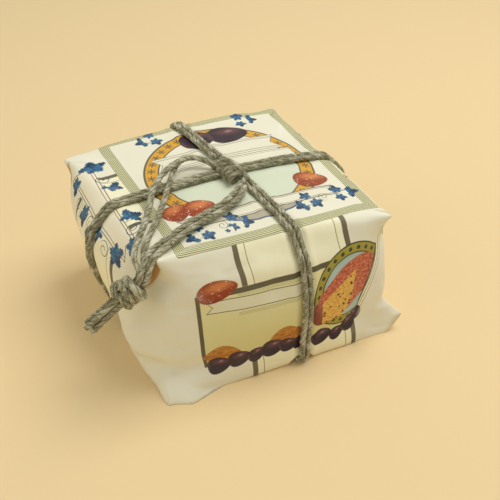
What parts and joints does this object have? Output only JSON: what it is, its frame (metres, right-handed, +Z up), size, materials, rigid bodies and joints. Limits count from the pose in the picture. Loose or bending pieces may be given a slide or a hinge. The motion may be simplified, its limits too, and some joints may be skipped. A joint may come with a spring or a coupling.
{
  "type": "wrapped panettone",
  "caption": "Low round panettone in a paper baking case and a clear bag, hand-wrapped in a printed paper sheet and tied crosswise with doubled jute twine.",
  "frame": {"origin": "on the ground, under the middle of the parcel", "axes": "+Z up, -Y towards the front panel with the label, -X towards the end over which the loose tails of the twine hang"},
  "size_m": [0.2519, 0.2087, 0.1316],
  "materials": {
    "wrap_paper": "smooth printed wrapping paper, faintly satin",
    "twine": "rough twisted jute",
    "case_paper": "matt ribbed baking paper",
    "bag_film": "clear gloss film",
    "crust": "baked crust, matt with a faint glaze"
  },
  "bodies": {
    "root": {"paper_wrap": "wrap_paper", "panettone": "crust", "baking_case": "case_paper", "film_bag": "bag_film", "twine_side_to_side_1": "twine", "twine_side_to_side_2": "twine", "twine_front_to_back_1": "twine", "twine_front_to_back_2": "twine", "top_knot": "twine", "tail_knot": "twine", "twine_tail_1": "twine", "twine_tail_2": "twine", "twine_tail_3": "twine", "twine_tail_4": "twine", "twine_end_1": "twine", "twine_end_2": "twine", "twine_end_3": "twine", "twine_end_4": "twine"}
  },
  "joints": []
}
